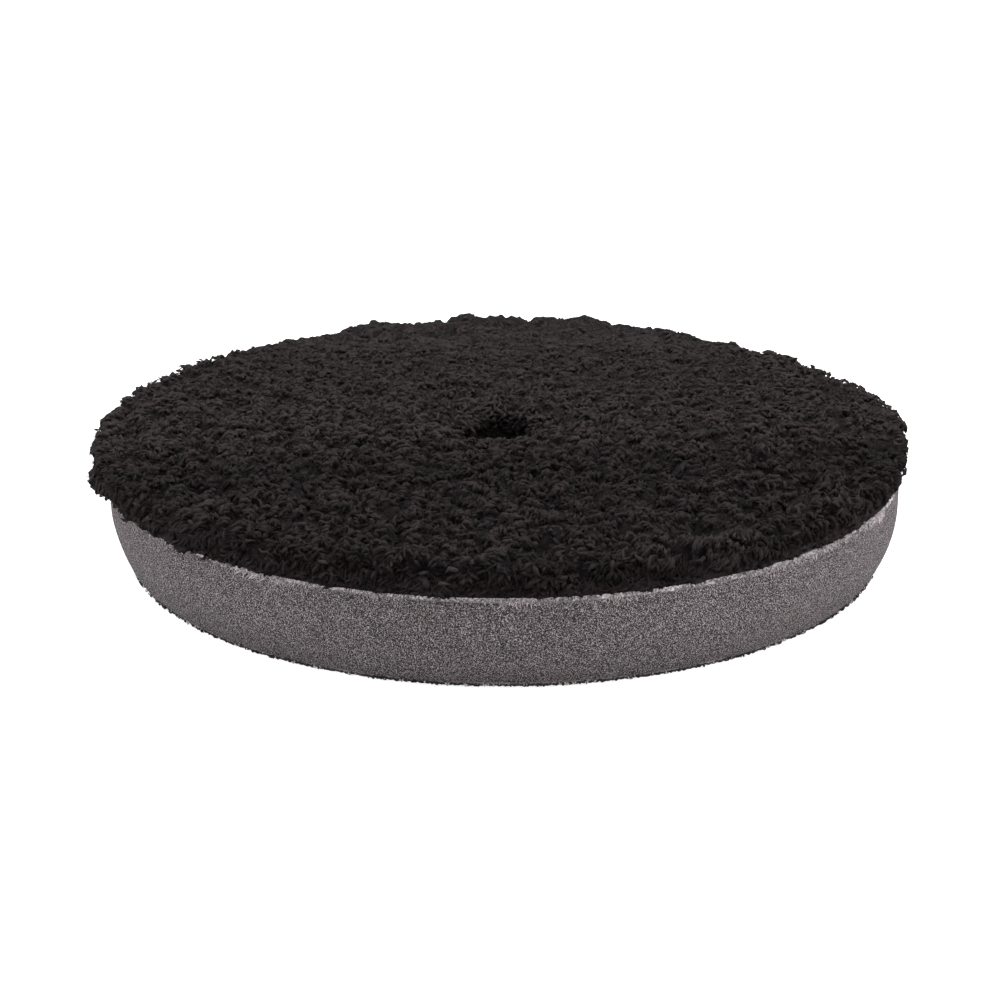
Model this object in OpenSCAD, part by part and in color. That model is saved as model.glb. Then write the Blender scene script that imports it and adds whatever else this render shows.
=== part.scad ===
// Microfibre polishing pad for a random-orbital polisher, laid down with its pile up.
// From the floor: brushed loops, their knitted ground, a bonding film, a foam interface
// with a curved flank, a second film, the pile's knitted cloth, and the pile itself.
// The pile is a dense bed of yarn with plump tufts at its free ends, and each tuft is a
// solid of its own: over the face, round the rim and round the mouth of the hole.
// Millimetres, +Z up. The origin is the centre of the loop face, which the pad rests on.

/* [Pad] */
// Diameter of the loop side, a little more than the polisher's backing plate
base_d = 153; // [130:0.5:158]
// Diameter of the foam at its widest and where it meets the pile cloth
face_d = 160; // [140:0.5:180]
// Diameter of the hole through every layer, which centres the pad on its plate
hole_d = 14; // [8:0.5:22]

/* [Loop backing] */
// Height of the brushed loops that the plate's hooks hold
nap_h = 0.6; // [0.4:0.1:3]
// Thickness of the knitted ground that carries the loops
loop_ground_t = 0.3; // [0.2:0.05:1.5]

/* [Foam and films] */
// Thickness of the foam interface
foam_h = 16.2; // [5:0.1:30]
// Height over which the foam's flank swells from its lower edge to its full width
flank_h = 10.9; // [2:0.1:16]
// How far the foam's lower edge stands out past the loop side
foam_lip = 0.4; // [0:0.1:1]
// Thickness of each hot-melt film that bonds the foam to a cloth
film_t = 0.2; // [0.1:0.05:0.6]

/* [Pile cloth] */
// Thickness of the knitted ground that carries the pile
cloth_t = 0.8; // [0.4:0.1:2]

/* [Pile bed] */
// Height of the dense lower part of the pile
bed_h = 4; // [3:0.1:8]
// How far the bed's wall stands in from the cloth's edge
bed_inset = 0.6; // [0.2:0.1:2]
// Radius of the bed's rounded shoulder
shoulder_r = 1.5; // [0.4:0.1:2]
// How much wider than the hole the bed is cut, all round
mouth_gap = 1.5; // [1:0.1:3]

/* [Tufts] */
// Diameter of a face tuft at its root
face_tuft_d = 5; // [4:0.1:7]
// Height of the tallest face tufts
face_tuft_h = 2.5; // [1:0.1:2.5]
// Diameter of a rim tuft at its root
rim_tuft_d = 3.8; // [2:0.1:4]
// How far the longest rim tufts stand out from the bed's wall
rim_tuft_h = 3.9; // [1:0.1:5]
// Diameter of a mouth tuft at its root
mouth_tuft_d = 3; // [2:0.1:3.6]
// How far the mouth tufts lean into the hole
mouth_tuft_h = 2; // [1:0.1:2.4]
// Share by which one tuft's height varies from the next
tuft_spread = 0.25; // [0:0.05:0.4]
// Gap kept between neighbouring tufts at their roots
tuft_gap = 0.2; // [0.2:0.05:1]

/* [Hidden] */

// Heights of the layers, each from the one below
nap_top = nap_h;
loop_ground_top = nap_top + loop_ground_t;
loop_film_top = loop_ground_top + film_t;
foam_top = loop_film_top + foam_h;
face_film_top = foam_top + film_t;
cloth_top = face_film_top + cloth_t;
bed_top = cloth_top + bed_h;

// The foam's flank is an arc that stands upright where the foam is widest
foam_step = (face_d - base_d) / 2 - foam_lip;
swell_h = min(flank_h, foam_h - 1);
flank_r = (swell_h * swell_h + foam_step * foam_step) / (2 * max(foam_step, 0.05));

bed_r = face_d / 2 - bed_inset;
mouth_r = hole_d / 2 + mouth_gap;
// The straight part of the bed's wall, below its shoulder, carries the rim and mouth tufts
wall_h = bed_h - shoulder_r;

golden_a = 180 * (3 - sqrt(5));
// The least distance between two points of a sunflower spiral, as a share of its scale
spiral_share = 1.67;
// Clearance that a tuft's flat root keeps from a curved wall
seat_gap = 0.03;
disc_fn = 160;
tuft_fn = 24;

// Heights as shares of the tallest, repeated in an order with no visible pattern
height_shares = rands(1 - tuft_spread, 1, 97, 7);

// Face tufts stand on a sunflower spiral over the flat of the bed, inside its shoulder
spiral_scale = (face_tuft_d + tuft_gap) / spiral_share;
field_in = mouth_r + face_tuft_d / 2;
field_out = bed_r - shoulder_r - face_tuft_d / 2;
first_tuft = ceil(pow(field_in / spiral_scale, 2));
last_tuft = floor(pow(field_out / spiral_scale, 2));

// The number of tufts round a wall, a multiple of 4 so that the ring is even on X and Y
function ring_count(wall_r, d) = 4 * floor(PI * wall_r / (d + tuft_gap) / 2);

// The distance from the axis at which a flat root of diameter d just clears a bore of wall_r
function bore_seat(wall_r, d) = sqrt(wall_r * wall_r - d * d / 4) - seat_gap;

module disc(d, z, h) {
    translate([0, 0, z])
        difference() {
            cylinder(d = d, h = h, $fn = disc_fn);
            translate([0, 0, -1])
                cylinder(d = hole_d, h = h + 2, $fn = disc_fn);
        }
}

// A plump tuft: a flat round root on its seat and a domed crown, on a stem if it is tall
module tuft(d, h) {
    crown_h = min(h, d / 2);
    crown_r = (d * d / 4 + crown_h * crown_h) / (2 * crown_h);
    stem_h = h - crown_h;
    rotate_extrude($fn = tuft_fn)
        intersection() {
            union() {
                translate([0, h - crown_r])
                    circle(r = crown_r, $fn = tuft_fn * 2);
                if (stem_h > 0)
                    square([d / 2, stem_h]);
            }
            square([crown_r, h + 1]);
        }
}

module loop_nap() {
    color("#57534f") disc(base_d, 0, nap_h);
}

module loop_ground() {
    color("#2f2d2e") disc(base_d, nap_top, loop_ground_t);
}

module loop_film() {
    color("#3b393a") disc(base_d, loop_ground_top, film_t);
}

// Half of the foam's section. Where the face is no wider than the loop side, the flank is
// a straight slope.
module foam_section() {
    bore_r = hole_d / 2;
    face_r = face_d / 2;
    core_r = max(face_r - flank_r, bore_r + 1);
    translate([bore_r, swell_h])
        square([face_r - bore_r, foam_h - swell_h]);
    if (foam_step > 0.05) {
        translate([bore_r, 0])
            square([core_r - bore_r, swell_h]);
        intersection() {
            translate([face_r - flank_r, swell_h])
                circle(r = flank_r, $fn = 180);
            translate([bore_r, 0])
                square([face_r + 1 - bore_r, swell_h]);
        }
    } else {
        polygon([
            [bore_r, 0],
            [face_r - foam_step, 0],
            [face_r, swell_h],
            [bore_r, swell_h]
        ]);
    }
}

module foam_interface() {
    color("#6f686a")
        translate([0, 0, loop_film_top])
            rotate_extrude($fn = disc_fn)
                foam_section();
}

module face_film() {
    color("#a49d9f") disc(face_d, foam_top, film_t);
}

module pile_cloth() {
    color("#8f8789") disc(face_d, face_film_top, cloth_t);
}

// Half of the bed's section: a flat top that rounds over to straight walls, inside and out
module bed_section() {
    square_w = bed_r - mouth_r;
    translate([mouth_r, 0]) {
        square([square_w, wall_h]);
        translate([shoulder_r, 0])
            square([square_w - 2 * shoulder_r, bed_h]);
        for (x = [shoulder_r, square_w - shoulder_r])
            translate([x, wall_h])
                circle(r = shoulder_r, $fn = 48);
    }
}

module pile_bed() {
    color("#221e1f")
        translate([0, 0, cloth_top])
            rotate_extrude($fn = disc_fn)
                bed_section();
}

module face_tufts() {
    color("#2f2a2b")
        for (i = [first_tuft : last_tuft])
            rotate([0, 0, i * golden_a])
                translate([spiral_scale * sqrt(i), 0, bed_top])
                    tuft(face_tuft_d, face_tuft_h * height_shares[i % len(height_shares)]);
}

module rim_tufts() {
    count = ring_count(bed_r, rim_tuft_d);
    color("#2b2627")
        for (i = [0 : count - 1])
            rotate([0, 0, 360 * i / count])
                translate([bed_r + seat_gap, 0, cloth_top + rim_tuft_d / 2 + seat_gap])
                    rotate([0, 90, 0])
                        tuft(rim_tuft_d, rim_tuft_h * height_shares[i % len(height_shares)]);
}

module mouth_tufts() {
    seat_r = bore_seat(mouth_r, mouth_tuft_d);
    count = ring_count(seat_r - mouth_tuft_h / 2, mouth_tuft_d);
    color("#1c191a")
        for (i = [0 : count - 1])
            rotate([0, 0, 360 * i / count])
                translate([seat_r, 0, cloth_top + mouth_tuft_d / 2 + seat_gap])
                    rotate([0, -90, 0])
                        tuft(mouth_tuft_d, mouth_tuft_h * height_shares[i % len(height_shares)]);
}

loop_nap();
loop_ground();
loop_film();
foam_interface();
face_film();
pile_cloth();
pile_bed();
face_tufts();
rim_tufts();
mouth_tufts();
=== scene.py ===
import math

import bpy
import numpy as np
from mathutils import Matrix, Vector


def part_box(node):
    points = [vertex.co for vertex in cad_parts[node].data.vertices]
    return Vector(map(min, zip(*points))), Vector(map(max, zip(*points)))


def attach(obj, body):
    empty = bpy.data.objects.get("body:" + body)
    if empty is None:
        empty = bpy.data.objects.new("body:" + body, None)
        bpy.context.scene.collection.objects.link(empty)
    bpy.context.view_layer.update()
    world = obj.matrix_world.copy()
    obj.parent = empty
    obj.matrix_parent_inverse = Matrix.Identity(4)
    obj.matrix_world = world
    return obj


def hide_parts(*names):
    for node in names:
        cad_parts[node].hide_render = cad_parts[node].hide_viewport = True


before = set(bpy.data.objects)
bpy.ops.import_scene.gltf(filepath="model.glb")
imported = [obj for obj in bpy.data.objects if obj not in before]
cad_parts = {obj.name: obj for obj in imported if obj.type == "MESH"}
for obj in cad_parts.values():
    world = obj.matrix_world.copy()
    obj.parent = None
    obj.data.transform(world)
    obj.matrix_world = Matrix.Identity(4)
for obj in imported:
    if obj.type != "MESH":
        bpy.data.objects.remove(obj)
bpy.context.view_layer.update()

# A microfibre polishing pad lying with its pile up. Lengths below are in millimetres,
# and turned to metres only where a mesh, a lamp or the camera is made.
mm = 0.001
tau = 2 * math.pi
holeRadius = 7.0         # the centre hole, cut through every layer
latticeSize = (4096, 512)   # random cells repeat only after this many columns and rows
latticeShift = 300       # brings the whole pad onto the lattice's positive side
print("frame loaded:", ", ".join(sorted(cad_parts)))


# sRGB hex to linear red, green, blue and a full alpha
def hexToLinear(code):
    values = [int(code[i:i + 2], 16) / 255 for i in (1, 3, 5)]
    return [v / 12.92 if v <= 0.04045 else ((v + 0.055) / 1.055) ** 2.4 for v in values] + [1]


# adds a node, sets its own settings, and fills its sockets with values or with links
def addNode(tree, kind, sockets=None, **settings):
    node = tree.nodes.new(kind)
    for name, value in settings.items():
        setattr(node, name, value)
    for name, value in (sockets or {}).items():
        if isinstance(value, bpy.types.NodeSocket):
            tree.links.new(value, node.inputs[name])
        else:
            node.inputs[name].default_value = value
    return node


# an empty node material with its tree
def newMaterial(name):
    material = bpy.data.materials.new(name)
    material.use_nodes = True
    material.node_tree.nodes.clear()
    return material, material.node_tree


# joins a Principled shader with these sockets to the material's output
def finish(tree, material, sockets):
    shader = addNode(tree, "ShaderNodeBsdfPrincipled", sockets)
    addNode(tree, "ShaderNodeOutputMaterial", {"Surface": shader.outputs["BSDF"]})
    return material


# a layer's bottom, top and outer radius, read from its CAD solid
def layerOf(node):
    low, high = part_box(node)
    return {"low": low.z / mm, "high": high.z / mm, "radius": (high.x - low.x) / 2 / mm}


# Several sine waves that cross at random angles, added and brought to a spread of about 1:
# a smooth field over a plane, whose swells are about one wavelength long.
def swell(x, y, wavelength, seed, waves=9):
    draw = np.random.default_rng(seed)
    angle = draw.uniform(0, tau, waves)
    length = wavelength * draw.uniform(0.75, 1.35, waves)
    phase = draw.uniform(0, tau, waves)
    field = np.zeros(np.shape(x))
    for a, w, p in zip(angle, length, phase):
        field = field + np.sin(tau * (x * math.cos(a) + y * math.sin(a)) / w + p)
    return field * math.sqrt(2 / waves)


# The distance from each point to the nearest and second nearest of a jittered lattice,
# the nearest one's own random number, and the way to it. The distances are in pitches.
# Both counts wrap, so a ring closes on itself.
def cells(x, y, pitch, jitter, seed, wrap=latticeSize[0]):
    draw = np.random.default_rng(seed)
    rows = latticeSize[1]
    shiftX = draw.uniform(-jitter, jitter, (wrap, rows))
    shiftY = draw.uniform(-jitter, jitter, shiftX.shape)
    number = draw.uniform(0, 1, shiftX.shape)
    column, row = np.floor(x / pitch).astype(int), np.floor(y / pitch).astype(int)
    first, second = np.full(x.shape, 9.0), np.full(x.shape, 9.0)
    label, wayX, wayY = np.zeros(x.shape), np.zeros(x.shape), np.zeros(x.shape)
    for i in (-1, 0, 1):
        for j in (-1, 0, 1):
            c, r = (column + i) % shiftX.shape[0], (row + j) % rows
            dx = column + i + 0.5 + shiftX[c, r] - x / pitch
            dy = row + j + 0.5 + shiftY[c, r] - y / pitch
            away = np.hypot(dx, dy)
            second = np.where(away < first, first, np.minimum(second, away))
            closer = away < first
            label = np.where(closer, number[c, r], label)
            wayX, wayY = np.where(closer, dx, wayX), np.where(closer, dy, wayY)
            first = np.minimum(first, away)
    return first, second, label, wayX, wayY


# puts points (in mm) and quads into a new mesh object, with named numbers on its points
def meshObject(name, points, quads, material, numbers=None, smooth=True, triangles=None):
    mesh = bpy.data.meshes.new(name)
    triangles = np.zeros((0, 3), int) if triangles is None else triangles
    corners = np.concatenate([quads.ravel(), triangles.ravel()]).astype(np.int32)
    totals = np.concatenate([np.full(len(quads), 4), np.full(len(triangles), 3)])
    mesh.vertices.add(len(points))
    mesh.vertices.foreach_set("co", (points * mm).astype(np.float32).ravel())
    mesh.loops.add(len(corners))
    mesh.loops.foreach_set("vertex_index", corners)
    mesh.polygons.add(len(totals))
    starts = np.concatenate([[0], np.cumsum(totals)[:-1]]).astype(np.int32)
    mesh.polygons.foreach_set("loop_start", starts)
    mesh.polygons.foreach_set("use_smooth", np.full(len(totals), smooth))
    for label, values in (numbers or {}).items():
        layer = mesh.attributes.new(label, "FLOAT", "POINT")
        layer.data.foreach_set("value", values.astype(np.float32).ravel())
    mesh.update(calc_edges=True)
    mesh.validate()
    mesh.materials.append(material)
    piece = bpy.data.objects.new(name, mesh)
    bpy.context.scene.collection.objects.link(piece)
    return piece


# Quads over a grid of rows and columns whose columns close into a ring. Rows close too
# if closed is set. Faces point to the left of the row direction, seen along the ring.
def ringQuads(rows, columns, closed=True):
    i = np.arange(rows if closed else rows - 1)[:, None]
    j = np.arange(columns)[None, :]
    a, b = i * columns + j, i * columns + (j + 1) % columns
    c, d = ((i + 1) % rows) * columns + (j + 1) % columns, ((i + 1) % rows) * columns + j
    return np.stack([a, b, c, d], -1).reshape(-1, 4)


# A closed section, given as radius and height, carried round the axis. shift moves every
# grid point along the section's own normal.
def revolve(section, normal, columns, shift=0.0):
    angle = np.arange(columns) * tau / columns
    radius = section[:, None, 0] + normal[:, None, 0] * shift
    height = section[:, None, 1] + normal[:, None, 1] * shift
    radius, height = np.broadcast_arrays(radius, height + 0 * angle)
    return np.stack([radius * np.cos(angle), radius * np.sin(angle), height], -1)


# Walks along a line of corners in even steps, and gives the points, the unit normals to
# the left of the walk, and the distance walked.
def walk(corners, step):
    corners = np.asarray(corners, float)
    legs = np.hypot(*np.diff(corners, axis=0).T)
    marks = np.concatenate([[0], np.cumsum(legs)])
    count = max(2, round(marks[-1] / step) + 1)
    along = np.linspace(0, marks[-1], count)
    points = np.stack([np.interp(along, marks, corners[:, k]) for k in (0, 1)], 1)
    tangent = np.gradient(points, axis=0)
    tangent /= np.linalg.norm(tangent, axis=1, keepdims=True)
    return points, np.stack([-tangent[:, 1], tangent[:, 0]], 1), along


# points on an arc of a circle, from one angle to another in degrees
def arc(centre, radius, start, end, count=16):
    angle = np.radians(np.linspace(start, end, count))
    return np.stack([centre[0] + radius * np.cos(angle), centre[1] + radius * np.sin(angle)], 1)


# Closed tubes with a few sides, one along each path. Each ring is a flattened polygon in
# the plane across the path, square to the path's own sideways direction. Every tube has
# its own cell of the bake map, so the finish can be baked without unwrapping.
def tubeObject(name, paths, radii, sideways, material, numbers, sides=3, flatten=0.65):
    count, rings = paths.shape[:2]
    tangent = np.gradient(paths, axis=1)
    tangent /= np.linalg.norm(tangent, axis=2, keepdims=True)
    across = np.cross(sideways[:, None, :], tangent)
    across /= np.linalg.norm(across, axis=2, keepdims=True)
    beside = np.cross(tangent, across)
    turn = 0.5 - np.arange(sides) * tau / sides
    ring = (np.cos(turn)[None, None, :, None] * beside[:, :, None, :]
            + flatten * np.sin(turn)[None, None, :, None] * across[:, :, None, :])
    thick = radii if radii.ndim == 3 else radii[:, :, None]
    points = paths[:, :, None, :] + thick[:, :, :, None] * ring
    k, side = np.meshgrid(np.arange(rings - 1), np.arange(sides), indexing="ij")
    after = (side + 1) % sides
    quad = np.stack([k * sides + side, k * sides + after, (k + 1) * sides + after,
                     (k + 1) * sides + side], -1)
    first = (np.arange(count) * rings * sides)[:, None, None]
    quads = (quad.reshape(1, -1, 4) + first).reshape(-1, 4)
    fan = np.stack([np.zeros(sides - 2, int), np.arange(1, sides - 1), np.arange(2, sides)], 1)
    caps = np.stack([fan[:, ::-1], fan + (rings - 1) * sides]).reshape(1, -1, 3)
    values = {label: (v if v.ndim > 2 and v.shape[2] == sides else
                      np.broadcast_to(v[:, :, None], (count, rings, sides))).reshape(-1)
              for label, v in numbers.items()}
    piece = meshObject(name, points.reshape(-1, 3), quads, material, values,
                       triangles=(caps + first).reshape(-1, 3))
    cellsWide = math.ceil(math.sqrt(count))
    cell = np.stack([np.arange(count) % cellsWide, np.arange(count) // cellsWide], -1)
    place = np.stack([np.stack([k, k, k + 1, k + 1], -1) / (rings - 1),
                      np.stack([side, side + 1, side + 1, side], -1) / sides], -1)
    ends = np.stack([np.repeat([[0.0], [1.0]], sides - 2, 0).repeat(3, 1),
                     np.stack([fan[:, ::-1], fan]).reshape(-1, 3) / sides], -1)
    ends[:, :, 0] += np.array([0, 0.06, 0.03]) * np.where(ends[:, :1, 0] > 0.5, 1, -1)
    uv = [(0.1 + 0.8 * part.reshape(1, -1, 2) + cell[:, None, :]).reshape(-1, 2)
          for part in (place, ends)]
    layer = piece.data.uv_layers.new(name="OFBake")
    layer.uv.foreach_set("vector", (np.concatenate(uv) / cellsWide).astype(np.float32).ravel())
    return piece


# Split microfibre: very fine polyester and nylon filaments, dyed black. They scatter
# light at their edges, which gives the eye a soft charcoal. The black between the locks
# is painted shade: the root colour.
microfibre = {"root": "#121010", "darkCool": "#181615", "darkWarm": "#1a1516",
              "paleCool": "#2e292a", "paleWarm": "#322a2b", "sheen": "#a08c8e"}
fibreSurface = {"Roughness": 0.7, "Specular IOR Level": 0.06, "Sheen Weight": 0.05,
                "Sheen Roughness": 0.5, "Sheen Tint": hexToLinear(microfibre["sheen"])}


# Painted shade: black at the root, lifting to the lock's own colour halfway along it. That
# colour is cool or warm by lock, pale or dark by the level that comes in.
def fibreColour(tree, level):
    along = addNode(tree, "ShaderNodeAttribute", attribute_name="fibreAlong")
    hue = addNode(tree, "ShaderNodeAttribute", attribute_name="fibreHue")
    lift = addNode(tree, "ShaderNodeMapRange", {
        "Value": along.outputs["Fac"], "From Min": 0.0, "From Max": 0.5})
    ends = [addNode(tree, "ShaderNodeMix", {
        "Factor": hue.outputs["Fac"], "A": hexToLinear(microfibre[shade + "Cool"]),
        "B": hexToLinear(microfibre[shade + "Warm"])}, data_type="RGBA")
        for shade in ("dark", "pale")]
    colour = addNode(tree, "ShaderNodeMix", {
        "Factor": level, "A": ends[0].outputs["Result"], "B": ends[1].outputs["Result"]},
        data_type="RGBA")
    return addNode(tree, "ShaderNodeMix", {
        "Factor": lift.outputs["Result"], "A": hexToLinear(microfibre["root"]),
        "B": colour.outputs["Result"]}, data_type="RGBA").outputs["Result"]


# single strands, in their lock's colour and with no relief of their own
def microfibrePile():
    material, tree = newMaterial("split microfibre strands, dyed black")
    tone = addNode(tree, "ShaderNodeAttribute", attribute_name="fibreTone")
    return finish(tree, material, {"Base Color": fibreColour(tree, tone.outputs["Fac"]),
                                   **fibreSurface})


# The lock's body: the same strands matted together. Real ones are a hundredth of a
# millimetre thick, so noise drawn out along the lock bundles them about 0.3 mm wide, in
# colour and as relief, and a second noise breaks them up like fuzz.
def microfibreLock():
    material, tree = newMaterial("split microfibre locks, dyed black")
    tone = addNode(tree, "ShaderNodeAttribute", attribute_name="fibreTone")
    axes = [addNode(tree, "ShaderNodeAttribute", attribute_name=label).outputs["Fac"]
            for label in ("lockEast", "lockNorth", "lockRun")]
    place = addNode(tree, "ShaderNodeCombineXYZ", dict(zip("XYZ", axes)))
    lines = addNode(tree, "ShaderNodeTexNoise", {
        "Vector": place.outputs["Vector"], "Scale": 3.2, "Detail": 4, "Roughness": 0.65,
        "Distortion": 0.6})
    spot = addNode(tree, "ShaderNodeTexCoord")
    fuzz = addNode(tree, "ShaderNodeTexNoise", {
        "Vector": spot.outputs["Object"], "Scale": 1500, "Detail": 4, "Roughness": 0.7})
    both = addNode(tree, "ShaderNodeMath", {
        0: lines.outputs["Fac"], 1: fuzz.outputs["Fac"]}, operation="MULTIPLY")
    spread = addNode(tree, "ShaderNodeMapRange", {
        "Value": both.outputs[0], "From Min": 0.17, "From Max": 0.36})
    # the lines fade from front to back: painted light, the flatter look the grazing light gives
    # the back
    depth = addNode(tree, "ShaderNodeSeparateXYZ", {"Vector": spot.outputs["Object"]})
    share = addNode(tree, "ShaderNodeMapRange", {
        "Value": depth.outputs["Y"], "From Min": -0.03, "From Max": 0.03, "To Min": 0.6,
        "To Max": 0.2})
    level = addNode(tree, "ShaderNodeMath", {
        0: spread.outputs["Result"], 1: share.outputs["Result"], 2: tone.outputs["Fac"]},
        operation="MULTIPLY_ADD", use_clamp=True)
    bump = addNode(tree, "ShaderNodeBump", {
        "Height": both.outputs[0], "Strength": 0.8, "Distance": 0.001})
    return finish(tree, material, {"Base Color": fibreColour(tree, level.outputs[0]),
                                   "Normal": fuzzyNormal(tree, bump.outputs["Normal"],
                                                         spot.outputs["Object"]),
                                   **fibreSurface})


# Fuzz scatters light in all directions, so a lock is shaded more like the pile it lies in.
# Straight up is added to its normals, 1.4 times in front and 3 times at the back, where
# the pile is pressed closer, and the sum is brought back to length one.
def fuzzyNormal(tree, normal, spot):
    place = addNode(tree, "ShaderNodeSeparateXYZ", {"Vector": spot})
    lift = addNode(tree, "ShaderNodeMapRange", {
        "Value": place.outputs["Y"], "From Min": -0.04, "From Max": 0.05, "To Min": 1.4,
        "To Max": 3.0})
    way = addNode(tree, "ShaderNodeCombineXYZ", {"Z": lift.outputs["Result"]})
    up = addNode(tree, "ShaderNodeVectorMath", {0: normal, 1: way.outputs["Vector"]},
                 operation="ADD")
    even = addNode(tree, "ShaderNodeVectorMath", {0: up.outputs["Vector"]},
                   operation="NORMALIZE")
    return even.outputs["Vector"]


# The pile's dense bed: the same fibre seen end on and packed. It is painted nearly black in
# its crevices, painted shade, and speckled with fibre ends, under half a millimetre apart,
# where it rises.
def microfibreBed():
    look = {"deep": "#0e0c0c", "top": "#463c3d"}
    material, tree = newMaterial("split microfibre bed, dyed black")
    spot = addNode(tree, "ShaderNodeTexCoord")
    rise = addNode(tree, "ShaderNodeAttribute", attribute_name="bedPaintedLight")
    fine = addNode(tree, "ShaderNodeTexNoise", {
        "Vector": spot.outputs["Object"], "Scale": 2600, "Detail": 4, "Roughness": 0.7,
        "Distortion": 1.2})
    grainy = addNode(tree, "ShaderNodeMapRange", {
        "Value": fine.outputs["Fac"], "From Min": 0.45, "From Max": 0.6})
    mix = addNode(tree, "ShaderNodeMath", {0: rise.outputs["Fac"], 1: grainy.outputs["Result"]},
                  operation="MULTIPLY")
    colour = addNode(tree, "ShaderNodeMix", {
        "Factor": mix.outputs[0], "A": hexToLinear(look["deep"]),
        "B": hexToLinear(look["top"])}, data_type="RGBA")
    bump = addNode(tree, "ShaderNodeBump", {"Height": fine.outputs["Fac"], "Strength": 1.0,
                                            "Distance": 0.001})
    return finish(tree, material, {"Base Color": colour.outputs["Result"], "Roughness": 0.8,
                                   "Normal": bump.outputs["Normal"],
                                   "Specular IOR Level": 0.15})


# Open-cell polyurethane foam, cut with a blade: the cut cells leave thin pale struts round
# pores, painted dark as painted shade, and the brightest specks are painted glints, so the
# wall reads as grey salt and pepper. Two noises without any slow part give the cells, about
# 0.4 mm apart, and the broken struts between them.
def polyurethaneFoam():
    look = {"pore": "#191617", "wall": "#383334", "strut": "#615a5c", "glint": "#aca3a6",
            "cellsPerMetre": 4700, "strutsPerMetre": 8200}
    material, tree = newMaterial("open-cell polyurethane foam, grey")
    spot = addNode(tree, "ShaderNodeTexCoord").outputs["Object"]
    depth = addNode(tree, "ShaderNodeAttribute", attribute_name="poreDepth")
    cell, fine = [addNode(tree, "ShaderNodeTexNoise", {
        "Vector": spot, "Scale": look[scale], "Detail": 0.0}).outputs["Fac"]
        for scale in ("cellsPerMetre", "strutsPerMetre")]
    both = addNode(tree, "ShaderNodeMath", {0: fine, 1: 1.3, 2: cell},
                   operation="MULTIPLY_ADD")
    level = addNode(tree, "ShaderNodeMapRange", {
        "Value": both.outputs[0], "From Min": 0.84, "From Max": 1.44}).outputs["Result"]
    colour = hexToLinear(look["pore"])
    for name, low, high in (("wall", 0.0, 0.45), ("strut", 0.45, 0.75), ("glint", 0.75, 1.0)):
        part = addNode(tree, "ShaderNodeMapRange", {
            "Value": level, "From Min": low, "From Max": high})
        colour = addNode(tree, "ShaderNodeMix", {
            "Factor": part.outputs["Result"], "A": colour, "B": hexToLinear(look[name])},
            data_type="RGBA").outputs["Result"]
    # painted shade: darker still where the wall is pushed in
    sunk = addNode(tree, "ShaderNodeMix", {
        "Factor": depth.outputs["Fac"], "A": colour, "B": hexToLinear(look["pore"])},
        data_type="RGBA")
    bump = addNode(tree, "ShaderNodeBump", {
        "Height": level, "Strength": 0.5, "Distance": 0.0002})
    return finish(tree, material, {"Base Color": sunk.outputs["Result"], "Roughness": 0.85,
                                   "Normal": bump.outputs["Normal"],
                                   "Specular IOR Level": 0.15})


# Knitted cloth, raw where it was die-cut and furry with cut filament ends, so it shows
# pale flecks on its own grey, thicker in some places than in others.
def knittedCloth(name, pale, dark):
    material, tree = newMaterial(name)
    spot = addNode(tree, "ShaderNodeTexCoord").outputs["Object"]
    knit = addNode(tree, "ShaderNodeTexVoronoi", {
        "Vector": spot, "Scale": 2200, "Randomness": 0.8})
    fur = addNode(tree, "ShaderNodeTexNoise", {
        "Vector": spot, "Scale": 3200, "Detail": 3, "Roughness": 0.6})
    patch = addNode(tree, "ShaderNodeTexNoise", {
        "Vector": spot, "Scale": 150, "Detail": 2, "Roughness": 0.5})
    flecks = addNode(tree, "ShaderNodeMath", {
        0: knit.outputs["Distance"], 1: fur.outputs["Fac"]}, operation="MULTIPLY")
    spread = addNode(tree, "ShaderNodeMapRange", {
        "Value": flecks.outputs[0], "From Min": 0.1, "From Max": 0.36})
    share = addNode(tree, "ShaderNodeMapRange", {
        "Value": patch.outputs["Fac"], "From Min": 0.4, "From Max": 0.6,
        "To Min": -0.25, "To Max": 0.3})
    level = addNode(tree, "ShaderNodeMath", {
        0: spread.outputs["Result"], 1: share.outputs["Result"]}, operation="ADD",
        use_clamp=True)
    colour = addNode(tree, "ShaderNodeMix", {
        "Factor": level.outputs[0], "A": hexToLinear(dark), "B": hexToLinear(pale)},
        data_type="RGBA")
    bump = addNode(tree, "ShaderNodeBump", {
        "Height": flecks.outputs[0], "Strength": 0.6, "Distance": 0.0002})
    return finish(tree, material, {"Base Color": colour.outputs["Result"], "Roughness": 0.9,
                                   "Normal": bump.outputs["Normal"]})


# Cut filament ends and brushed loops: single nylon or polyester threads, slightly glossy
def cutFilament(name, pale, dark):
    material, tree = newMaterial(name)
    tone = addNode(tree, "ShaderNodeAttribute", attribute_name="fibreTone")
    colour = addNode(tree, "ShaderNodeMix", {
        "Factor": tone.outputs["Fac"], "A": hexToLinear(dark), "B": hexToLinear(pale)},
        data_type="RGBA")
    return finish(tree, material, {"Base Color": colour.outputs["Result"], "Roughness": 0.55,
                                   "Specular IOR Level": 0.4})


# Hot-melt copolyester film, squeezed out of a roller: dull, with a faint orange peel
def hotMeltFilm():
    material, tree = newMaterial("hot-melt copolyester film")
    spot = addNode(tree, "ShaderNodeTexCoord")
    peel = addNode(tree, "ShaderNodeTexNoise", {
        "Vector": spot.outputs["Object"], "Scale": 1500, "Detail": 3})
    colour = addNode(tree, "ShaderNodeMix", {
        "Factor": peel.outputs["Fac"], "A": hexToLinear("#3f3a3b"),
        "B": hexToLinear("#857d7f")}, data_type="RGBA")
    rough = addNode(tree, "ShaderNodeMapRange", {
        "Value": peel.outputs["Fac"], "To Min": 0.45, "To Max": 0.75})
    return finish(tree, material, {"Base Color": colour.outputs["Result"],
                                   "Roughness": rough.outputs["Result"]})


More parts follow.
